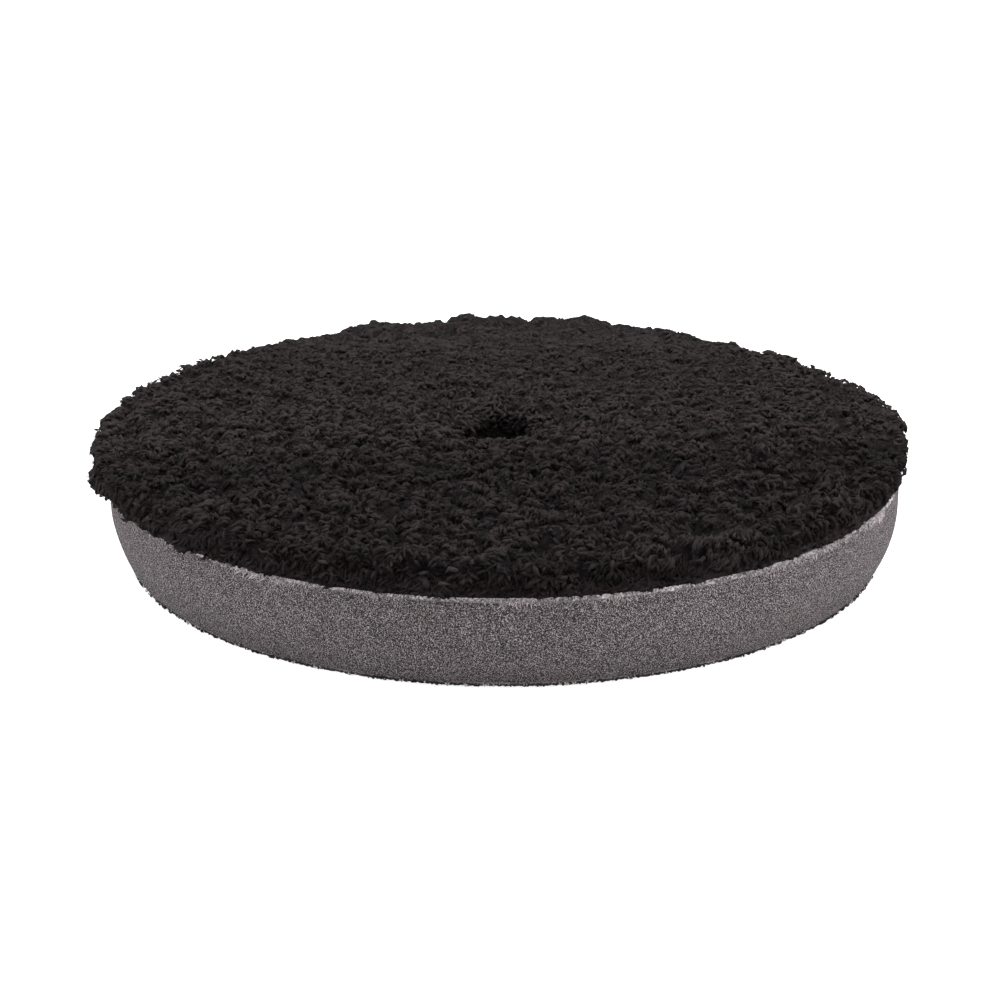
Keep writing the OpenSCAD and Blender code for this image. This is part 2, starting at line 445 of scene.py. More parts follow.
pileFibre = microfibrePile()
pileLock = microfibreLock()
pileDeep = microfibreBed()
foamGrey = polyurethaneFoam()
clothPale = knittedCloth("knitted polyester pile ground", "#c8bec1", "#575052")
clothDark = knittedCloth("warp-knitted nylon loop ground", "#8f8789", "#2b2728")
napDark = knittedCloth("brushed nylon nap, packed", "#4c4647", "#0a0909")
edgeFilament = cutFilament("cut polyester filament", "#d0c6c9", "#3b3536")
loopFilament = cutFilament("brushed nylon loop", "#c9c2c0", "#171414")
filmDull = hotMeltFilm()
print("materials made")


foam = dict(layerOf("foam_interface"), edgeRadius=76.9, swellHeight=10.9,
            grid=0.33, cell=0.66, poreDepth=0.03, waver=0.1, insideGrid=2.4)


# The wall swells from its lower edge along an arc that stands upright where it is widest.
# It closes through top, bore and underside, and is revolved. Each point is pushed in by a
# pore's depth near the middle of a random cell, and by a fine random grain.
def foamInterface():
    low, high, outer, hole = foam["low"], foam["high"], foam["radius"], holeRadius
    step, rise = outer - foam["edgeRadius"], foam["swellHeight"]
    flank = (rise ** 2 + step ** 2) / (2 * step)
    slope = math.degrees(math.asin(rise / flank))
    line = np.concatenate([arc((outer - flank, low + rise), flank, -slope, 0, 24),
                           [[outer, high]]])
    wall, outward, _ = walk(line, foam["grid"])
    bore, _, _ = walk([[hole, high], [hole, low]], foam["insideGrid"])
    section = np.concatenate([wall, [[outer * 0.7, high], [hole * 2, high]], bore,
                              [[hole * 2, low], [foam["edgeRadius"] * 0.7, low]]])
    normal = np.zeros_like(section)
    normal[:len(wall)] = -outward
    normal[len(wall) + 2:-2] = [-1, 0]
    columns = round(tau * outer / foam["grid"])
    angle = np.arange(columns) * tau / columns
    across = np.broadcast_to(angle * outer, (len(section), columns))
    height = np.broadcast_to(section[:, 1:2] + 40, across.shape)
    wrap = round(tau * outer / foam["cell"])
    pitch = tau * outer / wrap
    near, _, label, _, _ = cells(across, height, pitch, 0.34, 3, wrap)
    pore = np.clip(1 - near / 0.52, 0, 1) * (0.75 + 0.25 * label)
    grain = np.random.default_rng(5).uniform(-1, 1, pore.shape)
    broad = swell(across, height * 2.5, 34, 8)
    shift = -foam["poreDepth"] * (1.5 * pore + 0.5 * grain) + foam["waver"] * broad * 0.5
    ends = np.ones(len(section))
    ends[[0, len(wall) - 1]] = 0.4
    shift = shift * ends[:, None]
    points = revolve(section, normal, columns, shift).reshape(-1, 3)
    points[:, 2] = np.clip(points[:, 2], low, high)
    # how much darker each point is painted where it is pushed in: painted shade in pores and
    # grain
    depth = np.clip(0.06 * pore + 0.24 * (grain + 1) / 2 - 0.08, 0, 1).ravel()
    quads = ringQuads(len(section), columns)
    return meshObject("foamInterface", points, quads, foamGrey, {"poreDepth": depth})


foamPiece = foamInterface()
print("foam interface:", len(foamPiece.data.polygons), "faces")


cloth = layerOf("pile_cloth")
bedLayer = layerOf("pile_bed")
pile = {
    "mouthRadius": 7.6, "mouthRound": 1.6,     # the bed's own mouth and its rounding
    "holeClear": 5.0,                          # locks leave this radius of it open
    "top": bedLayer["high"] + 1.25, "bottom": cloth["high"] + 0.02,
    "radius": 80.3, "rimRound": 2.0,           # outer wall and shoulder
    "reach": 83.2, "reachLeft": 1.0,           # where the longest locks end
    "aside": -0.8,                             # the pile was laid on a little off centre
    "bulge": 2.2, "bulgeAt": 0.13, "bulgeWide": 0.14,   # and stands out more to the right
    "bedGrid": 0.66, "lump": 1.1,              # bed mesh and how far a lump stands up
    "lockPitch": 2.45, "jitter": 0.36,         # lattice of the locks, and its disorder
    "crumbPitch": 1.25,                        # crumbs of matted fibre on the bed
    "puffPitch": 7.0, "puffHigh": 2.3,         # puffs that washing has matted it into
}

lockSeed = 31   # the bed's lumps and the locks' roots are drawn from the same seed

# the bed's outer line, from the foot of the mouth over the face to the foot of the rim
pileLine = np.concatenate([
    [[pile["mouthRadius"], pile["bottom"]]],
    arc((pile["mouthRadius"] + pile["mouthRound"], pile["top"] - pile["mouthRound"]),
        pile["mouthRound"], 180, 90),
    arc((pile["radius"] - pile["rimRound"], pile["top"] - pile["rimRound"]),
        pile["rimRound"], 90, 0),
    [[pile["radius"] - 0.2, pile["bottom"]]],
])
linePoints, lineNormals, lineAlong = walk(pileLine, 0.05)
# Distances along the line are counted so that they equal the radius over the flat face,
# which lays face, rim and mouth out on one flat disc without a seam.
faceStart = int(np.argmax(linePoints[:, 1] > pile["top"] - 1e-6))
lineAlong = lineAlong - lineAlong[faceStart] + linePoints[faceStart, 0]


# radius, height and normal of the bed's surface at a distance along its line
def onPile(along):
    def read(values):
        return np.interp(along, lineAlong, values)
    return read(linePoints[:, 0]), read(linePoints[:, 1]), read(lineNormals[:, 0]), \
        read(lineNormals[:, 1])


# Washed pile mats into puffs: how full the puff is at a point, from 0 in the crevice round
# it to 1 over its middle, and the way to its middle. They are plainer towards the front.
def puffAt(x, y):
    bentX, bentY = x + 1.2 * swell(x, y, 11, 24), y + 1.2 * swell(x, y, 11, 25)
    near, second, _, wayX, wayY = cells(bentX + latticeShift, bentY + latticeShift,
                                        pile["puffPitch"], 0.45, 26)
    dome, edge = np.clip(1 - (near / 0.8) ** 2, 0, 1), np.clip((second - near) / 0.3, 0, 1)
    return 0.55 * dome + 0.45 * edge, wayX, wayY


# 1 on the hole's near side and 0 beyond it
def nearSide(y):
    return 1 / (1 + np.exp(y / 1.5))


# puffs that stand up along the back rim: how far aside, half width and height
skylinePuffs = [(-29.7, 3.0, 0.6), (-8.0, 2.4, 1.4), (0.2, 0.8, 0.8), (9.5, 2.0, 0.5),
                (21.0, 3.5, 1.3), (42.0, 4.0, 0.7), (-52.0, 4.0, 0.7)]


# the dip round the hole: its depth, how much deeper its near side is, where it is deepest
# and how wide it is
hollow = {"deep": 2.3, "nearDeeper": 1.5, "at": 5, "wide": 5.5}

# behind the hole, a tuft that stands up and a dent: place, half widths and height
holeMounds = [(2, 10.5, 5, 2.6, 1.8), (4, 17, 2.5, 1.8, -1.3)]


# How far the whole pile rises or sinks at a point of the flat layout, in mm: puffs, slow
# swells, the hollow with its mounds, and a ridge at the back. It is less on the rim's wall.
def pileSwell(x, y):
    away = np.hypot(x, y)
    dip = -((hollow["deep"] + hollow["nearDeeper"] * nearSide(y))
            * np.exp(-((away - hollow["at"]) / hollow["wide"]) ** 2))
    for atX, atY, wideX, wideY, tall in holeMounds:
        dip = dip + tall * np.exp(-((x - atX) / wideX) ** 2 - ((y - atY) / wideY) ** 2)
    high = pile["puffHigh"] * (0.35 + 0.65 / (1 + np.exp((y - 5) / 12)))
    ridge = 1.1 + 0.35 * swell(x, y, 13, 27)
    for aside, wide, higher in skylinePuffs:
        ridge = ridge + higher * np.exp(-((x - aside) / wide) ** 2)
    rise = (0.25 * swell(x, y, 17, 21) + high * (puffAt(x, y)[0] - 0.55)
            + 0.2 * swell(x, y, 5, 23) + dip + ridge * np.exp(-((y - 76) / 10) ** 2))
    return rise * (1 - 0.6 * np.clip((away - lineAlong[-1] + 6) / 2.5, 0, 1))


# how far the rim stands out at an angle, more and more over the outer 12 mm
def rimBulge(x, y):
    turned = (np.arctan2(y, x) - pile["bulgeAt"]) / pile["bulgeWide"]
    outer = np.clip((np.hypot(x, y) - lineAlong[-1] + 16) / 12, 0, 1)
    return pile["bulge"] * np.exp(-turned ** 2) * outer


# how far a point lies in the front third, from 0 to 1: the pile there is painted darker,
# painted shade, and its front wall lighter, painted light
def frontThirdAt(x, y):
    return 1 / (1 + np.exp((y + 18 - 0.12 * x) / 4.5))


# how far back a point lies, from 0 to 1. There the bed stands higher, and the bed and the roots
# are painted lighter and the locks' tone more even: painted light, as the light grazes it there.
def backAt(y):
    return 1 / (1 + np.exp((5 - y) / 12))


# A lump over each lock's root: a dome of the distance to the nearest root, with a crevice
# where two roots are equally near, and smaller crumbs with crevices of their own.
def pileBed():
    points, normals, along = walk(pileLine, pile["bedGrid"])
    along = along + lineAlong[0]
    columns = round(tau * pile["radius"] / pile["bedGrid"])
    angle = np.arange(columns) * tau / columns
    x, y = along[:, None] * np.cos(angle), along[:, None] * np.sin(angle)
    near, second, *_ = cells(x + latticeShift, y + latticeShift, pile["lockPitch"],
                             pile["jitter"], lockSeed)
    dome = np.clip(1 - (near / 0.8) ** 2, 0, 1)
    edge = np.clip((second - near) / 0.35, 0, 1)
    bentX, bentY = x + 0.5 * swell(x, y, 2.4, 33), y + 0.5 * swell(x, y, 2.4, 34)
    crumb, beyond, *_ = cells(bentX + latticeShift, bentY + latticeShift,
                              pile["crumbPitch"], 0.45, 35)
    crumbs = np.clip((beyond - crumb) / 0.5, 0, 1) ** 0.6
    grain = np.random.default_rng(32).uniform(-1, 1, x.shape)
    rise = dome * 0.4 + edge * 0.15 + crumbs * 0.45
    back = backAt(y)
    shift = pile["lump"] * (rise - 0.8 + 0.5 * back) + 0.1 * grain + pileSwell(x, y)
    foot = np.ones(len(points))
    foot[:2] = foot[-2:] = 0.0                 # the bed's own feet stay where they are
    body = revolve(points, normals, columns, shift * foot[:, None])
    spread = rimBulge(x, y) * foot[:, None]
    body[..., 0] += spread * np.cos(angle)
    body[..., 1] += spread * np.sin(angle)
    under = [[pile["radius"] * 0.7, pile["bottom"]], [pile["mouthRadius"] * 2, pile["bottom"]]]
    base = revolve(np.array(under), np.zeros((2, 2)), columns)
    grid = np.concatenate([body, base]).reshape(-1, 3)
    grid[:, 0] += pile["aside"]
    grid[:, 2] = np.maximum(grid[:, 2], pile["bottom"])
    quads = ringQuads(len(points) + 2, columns)[:, ::-1]
    # painted shade: the bed's colour follows its lumps, dark in the crevices; it is painted
    # darker over the front third and again along the far side, and lighter at the back, painted
    # light
    shade = (1 - 0.5 * frontThirdAt(x, y)) * (rise + 0.15 * back)
    shade = shade * (1 - 0.4 * np.clip((y - 50) / 20, 0, 1))
    shade = np.concatenate([shade, np.zeros((2, columns))]).ravel()
    return meshObject("pileBed", grid, quads, pileDeep, {"bedPaintedLight": shade})


bedPiece = pileBed()
print("pile bed:", len(bedPiece.data.polygons), "faces")


# the roots of all locks on the flat layout: the same jittered lattice as the bed's lumps
def lockRoots():
    pitch, reach = pile["lockPitch"], lineAlong[-1]
    draw = np.random.default_rng(lockSeed)
    shiftX = draw.uniform(-pile["jitter"], pile["jitter"], latticeSize)
    shiftY = draw.uniform(-pile["jitter"], pile["jitter"], latticeSize)
    across = np.arange(int(2 * latticeShift / pitch))
    column, row = np.meshgrid(across, across, indexing="ij")
    x = (column + 0.5 + shiftX[column, row]) * pitch - latticeShift
    y = (row + 0.5 + shiftY[column, row]) * pitch - latticeShift
    away = np.hypot(x, y)
    kept = (away > lineAlong[0] + 1.0) & (away < reach - 0.3)
    # more roots between the first, over the shoulder and the wall of the rim
    extra, wall = kept & ((away > reach - 7) | (away < 10)), kept & (away > reach - 4.5)
    x = np.concatenate([x[kept], x[extra] + pitch * 0.5, x[wall] + pitch * 0.5,
                        x[wall] - pitch * 0.4])
    y = np.concatenate([y[kept], y[extra] + pitch * 0.4, y[wall] - pitch * 0.3,
                        y[wall] + pitch * 0.2])
    inside = np.hypot(x, y) < reach + 0.2
    # and a row along the foot of the wall
    spin = np.arange(0, tau, 2.0 / reach)
    foot = reach - draw.uniform(0.2, 0.9, len(spin))
    return np.concatenate([np.stack([x[inside], y[inside]], 1),
                           np.stack([foot * np.cos(spin), foot * np.sin(spin)], 1)])


# how thick a lock is from its root to its tip, as a share of its radius
def lockShape(t):
    return np.interp(t, [0, 0.2, 0.45, 0.7, 0.88, 1], [0.7, 0.95, 1.05, 0.9, 0.7, 0.4])


# longer tufts that stand out of the rim: angle, half width and how much longer
tassels = [(0.1, 0.03, 1.0), (2.75, 0.04, 0.2), (3.05, 0.05, 0.5), (3.42, 0.06, 0.6)]


# places on the rim where the locks lie combed side by side: angle and half width
combings = [(-1.09, 0.15), (-0.62, 0.08), (-2.35, 0.06), (2.2, 0.1), (0.7, 0.1)]


# Where every lock stands and how it curls. It leaves the bed along the bed's normal and
# bends over, along an arc of a circle, towards its lean.
def growLocks(roots, look, seed):
    draw = np.random.default_rng(seed)
    count = len(roots)
    away = np.hypot(roots[:, 0], roots[:, 1])
    spin = np.arctan2(roots[:, 1], roots[:, 0])
    radius, height, outR, outZ = onPile(away)
    wall = np.clip((away - lineAlong[-1] + 4.5) / 1.5, 0, 1)
    rise = pileSwell(roots[:, 0], roots[:, 1]) - look["sunk"] - 0.4 * wall
    rise = rise - 0.5 * np.exp(-((roots[:, 1] - 80) / 10) ** 2) * (1 - wall)
    radius, height = radius + outR * rise, height + outZ * rise
    radius = radius + rimBulge(roots[:, 0], roots[:, 1])
    ring = np.stack([-np.sin(spin), np.cos(spin), np.zeros(count)], 1)
    out = np.stack([np.cos(spin) * outR, np.sin(spin) * outR, outZ], 1)
    down = np.cross(ring, out)
    # lean: a slow swirl with a wide scatter, drawn outwards at the rim, inwards at the mouth
    long = look["length"] * draw.uniform(0.8, 1.2, count)
    swirl = 2.4 * swell(roots[:, 0], roots[:, 1], 13, 41) + draw.normal(0, 0.6, count)
    full, inX, inY = puffAt(roots[:, 0], roots[:, 1])
    rim = np.clip((away - look["rimFrom"]) / look["rimWide"], 0, 1)
    mouth = np.clip((look["mouthFrom"] - away) / look["mouthWide"], 0, 1)
    nearer = mouth * nearSide(roots[:, 1])
    pull = rim * look["rimPull"] + 0.8 * wall
    inward = inX * np.cos(spin) + inY * np.sin(spin)
    around = inY * np.cos(spin) - inX * np.sin(spin)
    wayX = (0.7 * np.cos(swirl) + 1.6 * inward) * (1 - rim) * (1 - mouth)
    wayX = wayX + pull - mouth * 1.2 + nearer * 1.6
    wayY = (0.7 * np.sin(swirl) + 1.6 * around) * (1 - 0.5 * rim)
    combed = np.zeros(count)
    for place, width in combings:
        turned = np.angle(np.exp(1j * (spin - place))) / width
        combed = np.maximum(combed, np.exp(-turned ** 2) * np.clip((away - 70) / 5, 0, 1))
    wayX, wayY = wayX * (1 - combed) + combed, wayY * (1 - combed) - 0.9 * combed
    lean = np.arctan2(wayY, wayX)
    bend = np.radians(look["bend"]) * draw.uniform(0.65, 1.25, count) * (1 - 0.45 * mouth)
    long = long * (1 - 0.25 * wall) * (1 + 0.3 * mouth - 0.6 * nearer)
    ragged = np.clip(swell(80 * np.cos(spin), 80 * np.sin(spin), 7, 44), 0, 1.5)
    long = long * (1 + wall * (0.15 + 0.55 * ragged) * (0.55 - 0.45 * np.cos(spin)))
    # along the far rim they lie lower, except on the wall, where none shows above the bed
    skyline = np.exp(-((roots[:, 1] - 82) / 9) ** 2) * np.clip(outZ / 0.35, 0, 1)
    long, bend = long * (1 - 0.6 * skyline), bend * (1 - 0.3 * skyline)
    for place, width, longer in tassels:
        near = wall * np.exp(-(np.angle(np.exp(1j * (spin - place))) / width) ** 2)
        long, bend = long * (1 + longer * near), bend * (1 - 0.45 * near)
    # The locks' tone carries painted light. The front third is painted darker, darkest along one
    # band, and so are the crevices between puffs and the locks round the hole: painted shade.
    # Combed locks and the front wall are painted lighter, painted light, and at the back the
    # tone is drawn towards one level, painting the flatter look the grazing light gives there.
    frontThird = frontThirdAt(roots[:, 0], roots[:, 1])
    tone = draw.normal(0.5, 0.1, count) + 0.08 * swell(roots[:, 0], roots[:, 1], 14, 45)
    tone = tone - 0.55 * frontThird + 0.5 * (full - 0.65) - 0.2 * mouth - 0.25 * nearer
    shadeBand = roots[:, 1] + 32 - 0.1 * roots[:, 0]
    tone = tone - 0.42 * np.exp(-(shadeBand / 9) ** 2) + 0.3 * combed
    tone = tone + 1.05 * wall * frontThird
    tone = tone + 0.45 * backAt(roots[:, 1]) * (0.3 - tone)
    thick = look["lockRadius"] * draw.uniform(0.8, 1.25, count)
    return {"root": np.stack([radius * np.cos(spin), radius * np.sin(spin), height], 1),
            "out": out, "down": down, "ring": ring, "lean": lean, "bend": bend, "long": long,
            "tone": tone, "thick": thick, "away": away, "spin": spin % tau,
            "combed": combed,
            "hue": np.clip(0.5 + 0.3 * swell(roots[:, 0], roots[:, 1], 9, 43), 0, 1)}


# points along an arc, with its outer side's and its sideways directions
def curl(lock, t):
    toward = (np.cos(lock["lean"])[:, None] * lock["down"]
              + np.sin(lock["lean"])[:, None] * lock["ring"])
    sideways = np.cross(lock["out"], toward)
    turn = lock["bend"][:, None, None] * t[:, :, None]
    size = (lock["long"] / lock["bend"])[:, None, None]
    out, toward = lock["out"][:, None, :], toward[:, None, :]
    middle = lock["root"][:, None, :] + size * (np.sin(turn) * out + (1 - np.cos(turn)) * toward)
    return middle, np.cos(turn) * toward - np.sin(turn) * out, sideways


# Keeps the locks inside the pad's outline. Below a height they are pressed flat, ever more,
# so that they stay off the foam. Past the reach they are drawn in, and out of the hole
# they are pushed back. None stands far over the bed, at the back only half a millimetre.
def trimLocks(paths, lift):
    footHigh, crestHigh = 1.9, 1.3
    line = pile["bottom"] + footHigh + lift
    under = np.clip(line - paths[..., 2], 0, None)
    far = np.hypot(paths[..., 0], paths[..., 1])
    limit = pile["reach"] - pile["reachLeft"] * paths[..., 0] / far
    limit = limit + rimBulge(paths[..., 0], paths[..., 1])
    limit = limit - 1.0 * np.clip(under, 0, 1.5)
    tuck = np.where(far > limit, (limit + 0.35 * (far - limit)) / far, 1)
    clear = pile["holeClear"]
    tuck = np.where(far < clear, (clear - 0.2 * (clear - far)) / np.maximum(far, 0.3), tuck)
    flat = np.clip((paths[..., 1] - 45) / 15, 0, 1)
    crest = (pile["top"] + pileSwell(paths[..., 0], paths[..., 1]) + crestHigh - 0.8 * flat
             - 0.3 * flat * np.clip(far - 78, 0, None) ** 2)
    over = np.clip(paths[..., 2] - crest, 0, None)
    paths[..., 2] -= (0.6 + 0.3 * flat) * over
    paths[..., :2] *= tuck[..., None]
    paths[..., 0] += pile["aside"]
    pressed = line - footHigh * (1 - np.exp(-under / footHigh))
    paths[..., 2] = np.where(under > 0, pressed, paths[..., 2])
    return paths


# The crumbs or strands of each lock. Each follows part of the lock's arc at its own
# distance, narrows with it, and waves from side to side as crimped yarn does, in a circle
# flattened to 0.7. Some strands stray out of the lock.
def lockStrands(locks, look, seed):
    draw = np.random.default_rng(seed)
    each, rings, sides = look["each"], look["rings"], look["sides"]
    strand = {k: np.repeat(v, each, axis=0) for k, v in locks.items()}
    total = len(strand["bend"])
    strand["lean"] = (strand["lean"]
                    + draw.normal(0, look["splay"], total) * (1 - 0.75 * strand["combed"]))
    strand["bend"] = strand["bend"] * draw.uniform(0.85, 1.15, total)
    strand["long"] = strand["long"] * draw.uniform(*look["share"], total)
    stray = draw.uniform(0, 1, total) < look["strays"]
    strand["bend"] = np.where(stray, strand["bend"] * 0.6, strand["bend"])
    # each runs over its own part of the lock's arc
    first = draw.uniform(0, look["start"], total)[:, None]
    span = draw.uniform(*look["span"], total) * (1 + 0.8 * strand["combed"])
    t = first + span[:, None] * np.linspace(0, 1, rings)
    middle, across, sideways = curl(strand, t)
    far = draw.uniform(*look["shell"], total) * strand["thick"]
    angle = draw.uniform(0, tau, total)
    wide = far[:, None] * lockShape(t)
    one = wide * np.cos(angle)[:, None] * 0.75
    two = wide * np.sin(angle)[:, None]
    start = draw.uniform(0, tau, total)[:, None]
    waves = look["waves"] * draw.uniform(0.7, 1.4, total)[:, None]
    crimp = look["crimp"] * draw.uniform(0.4, 1.5, total)[:, None] * np.minimum(1, 2 * t)
    one = one + 0.7 * crimp * np.cos(tau * waves * t + start)
    two = two + crimp * np.sin(tau * waves * t + start)
    paths = middle + one[:, :, None] * across + two[:, :, None] * sideways[:, None, :]
    taper = np.interp(np.linspace(0, 1, rings), *look["taper"])
    radii = (look["radius"] * draw.uniform(0.7, 1.3, total))[:, None] * taper
    tone = strand["tone"] + look["pale"] + draw.normal(0, look["scatter"], total)
    tone = np.clip(tone, -0.2, 1)
    hue = np.clip(strand["hue"] + draw.normal(0, 0.1, total), 0, 1)
    # fibreAlong sets the painted shade at the roots; towards the back it is raised, so the roots
    # there are painted lighter: painted light
    back = backAt(strand["root"][:, 1])
    numbers = {"fibreTone": np.repeat(tone[:, None], rings, 1),
               "fibreHue": np.repeat(hue[:, None], rings, 1),
               "fibreAlong": np.clip(t + 0.4 * back[:, None], 0, 1)}
    if look["lines"]:
        radii = radii[:, :, None] * draw.uniform(*look["lumps"], (total, rings, sides))
        turn = (np.arange(sides) * tau / sides)[None, None, :]
        seedShift = draw.uniform(0, 50, total)[:, None, None]
        full = (total, rings, sides)
        numbers["lockEast"] = np.broadcast_to(0.45 * np.cos(turn) + seedShift, full)
        numbers["lockNorth"] = np.broadcast_to(0.45 * np.sin(turn) + seedShift, full)
        numbers["lockRun"] = np.broadcast_to(0.6 * t[:, :, None], full)
    return trimLocks(paths, draw.uniform(-0.2, 0.7, (total, 1))), radii, sideways, numbers


# how deep a lock is rooted, how many degrees it bends over, its length and radius, and where
# the rim and the mouth begin to pull it
locksLook = {"sunk": 0.6, "bend": 165, "length": 3.7, "lockRadius": 0.95, "rimPull": 0.9,
             "rimFrom": 75.5, "rimWide": 4.0, "mouthFrom": 13, "mouthWide": 5.0}
# thick crumbs of many matted filaments, and the single strands that fly over them, whose tone
# is lifted by their pale share: painted highlight
curlLook = {"each": 7, "rings": 4, "sides": 3, "radius": 0.44, "shell": (0.2, 1.25),
            "splay": 0.8, "share": (0.9, 1.1), "start": 0.5, "span": (0.36, 0.6),
            "strays": 0.0, "waves": 1.2, "crimp": 0.35, "scatter": 0.1, "lumps": (0.55, 1.45),
            "taper": ([0, 0.3, 0.7, 1], [0.4, 1.0, 0.95, 0.25]), "pale": 0.0, "lines": True}
fibreLook = {"each": 5, "rings": 4, "sides": 3, "radius": 0.08, "shell": (1.1, 1.65),
             "splay": 0.9, "share": (0.9, 1.1), "start": 0.3, "span": (0.4, 0.7),
             "strays": 0.03, "waves": 1.3, "crimp": 0.28, "scatter": 0.2, "lumps": (1, 1),
             "taper": ([0, 0.3, 0.75, 1], [0.75, 1.0, 0.85, 0.35]), "pale": 0.25,
             "lines": False}


# The locks in shares that stay under 200,000 triangles each: the mouth, the face in six
# sectors and the rim in three, every one with its crumbs and its strands.
def pilePieces():
    locks = growLocks(lockRoots(), locksLook, 51)
    faceFrom, rimFrom, calmTo = 11.5, 76, 68
    away = locks["away"]
    zones = [("pileMouth", away < faceFrom, 1, "mouth_tufts"),
             ("pileFace", (away >= faceFrom) & (away < rimFrom), 6, "face_tufts"),
             ("pileRim", away >= rimFrom, 3, "rim_tufts")]
    for name, inside, shares, node in zones:
        for share in range(shares):
            low, high = tau * share / shares, tau * (share + 1) / shares
            pick = inside & (locks["spin"] >= low) & (locks["spin"] < high)
            calm = pick & (locks["root"][:, 1] < calmTo)   # no loose strands along the far rim
            number = "" if shares == 1 else str(share + 1)
            for kind, look, material, seed, chosen in (
                    ("Curls", curlLook, pileLock, 52 + share, pick),
                    ("Strands", fibreLook, pileFibre, 72 + share, calm)):
                some = {k: v[chosen] for k, v in locks.items()}
                paths, radii, sideways, numbers = lockStrands(some, look, seed)
                piece = tubeObject(name + kind + number, paths, radii, sideways, material,
                                   numbers, sides=look["sides"], flatten=0.8)
                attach(piece, "root")
                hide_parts(node)
                print("  ", piece.name, int(pick.sum()), "locks",
                      len(piece.data.polygons), "faces")


pilePieces()
print("pile made")


pileClothLook = dict(cloth, grid=0.35, ragged=0.3)


# A flat disc with a hole, whose outer edge wanders in and out a little as cut knit does
def clothDisc(name, look, material):
    low, high, outer, hole = look["low"], look["high"], look["radius"], holeRadius
    edge, _, _ = walk([[outer, low], [outer, high]], min(look["grid"], (high - low) / 2))
    section = np.concatenate([edge, [[outer - 1.5, high], [outer * 0.6, high], [hole + 2, high],
                                     [hole, high], [hole, low], [hole + 2, low],
                                     [outer * 0.6, low], [outer - 1.5, low]]])
    columns = round(tau * outer / look["grid"])
    draw = np.random.default_rng(61)
    shift = np.zeros((len(section), columns))
    shift[:len(edge)] = look["ragged"] * draw.uniform(-1, 0.6, (len(edge), columns))
    normal = np.zeros_like(section)
    normal[:len(edge), 0] = 1
    grid = revolve(section, normal, columns, shift).reshape(-1, 3)
    return meshObject(name, grid, ringQuads(len(section), columns), material, smooth=False)


clothPiece = clothDisc("pileCloth", pileClothLook, clothPale)

fringe = {"count": 5200, "length": 0.95, "radius": 0.095, "rings": 3}


# short curved ends of cut filament, standing out of the cloth's edge and drooping
def edgeFringe():
    draw = np.random.default_rng(71)
    count, rings = fringe["count"], fringe["rings"]
    spin = draw.uniform(0, tau, count)
    dense = swell(cloth["radius"] * np.cos(spin), cloth["radius"] * np.sin(spin), 16, 72)
    high = draw.uniform(cloth["low"] - 0.3, cloth["high"] + 0.1, count)
    out = np.stack([np.cos(spin), np.sin(spin), np.zeros(count)], 1)
    ring = np.stack([-np.sin(spin), np.cos(spin), np.zeros(count)], 1)
    root = out * (cloth["radius"] - 0.15) + np.stack([0 * high, 0 * high, high], 1)
    tilt = draw.normal(0, 0.8, count)
    toward = np.cos(tilt)[:, None] * np.array([[0, 0, -1.0]]) + np.sin(tilt)[:, None] * ring
    long = fringe["length"] * draw.uniform(0.4, 1.2, count) * np.clip(1 + 0.5 * dense, 0.3, 1.6)
    bend = draw.uniform(1.3, 2.6, count)
    t = np.linspace(0, 1, rings)[None, :, None]
    turn = bend[:, None, None] * t
    size = (long / bend)[:, None, None]
    paths = root[:, None, :] + size * (np.sin(turn) * out[:, None, :] * 0.9
                                       + (1 - np.cos(turn)) * toward[:, None, :])
    radii = fringe["radius"] * draw.uniform(0.6, 1.3, count)[:, None]
    radii = radii * np.interp(np.linspace(0, 1, rings), [0, 1], [1, 0.5])
    tone = np.clip(draw.uniform(0, 1, count) + 0.35 * dense, 0, 1)
    tone = np.repeat(tone[:, None], rings, 1)
    return tubeObject("pileClothFringe", paths, radii, np.cross(out, toward), edgeFilament,
                      {"fibreTone": tone})


fringePiece = edgeFringe()
print("pile cloth and its cut edge made")

loopGround = dict(layerOf("loop_ground"), grid=0.4, ragged=0.25)
groundPiece = clothDisc("loopGround", loopGround, clothDark)
nap = layerOf("loop_nap")
napLook = dict(nap, low=nap["low"] + 0.12, radius=nap["radius"] - 0.1, grid=0.4,
               ragged=0.35)
napBedPiece = clothDisc("loopNapBed", napLook, napDark)

loops = {"pitch": 2.4, "width": 0.8, "radius": 0.085, "rings": 5, "edgeCount": 1500,
         "edgeRadius": 0.15}


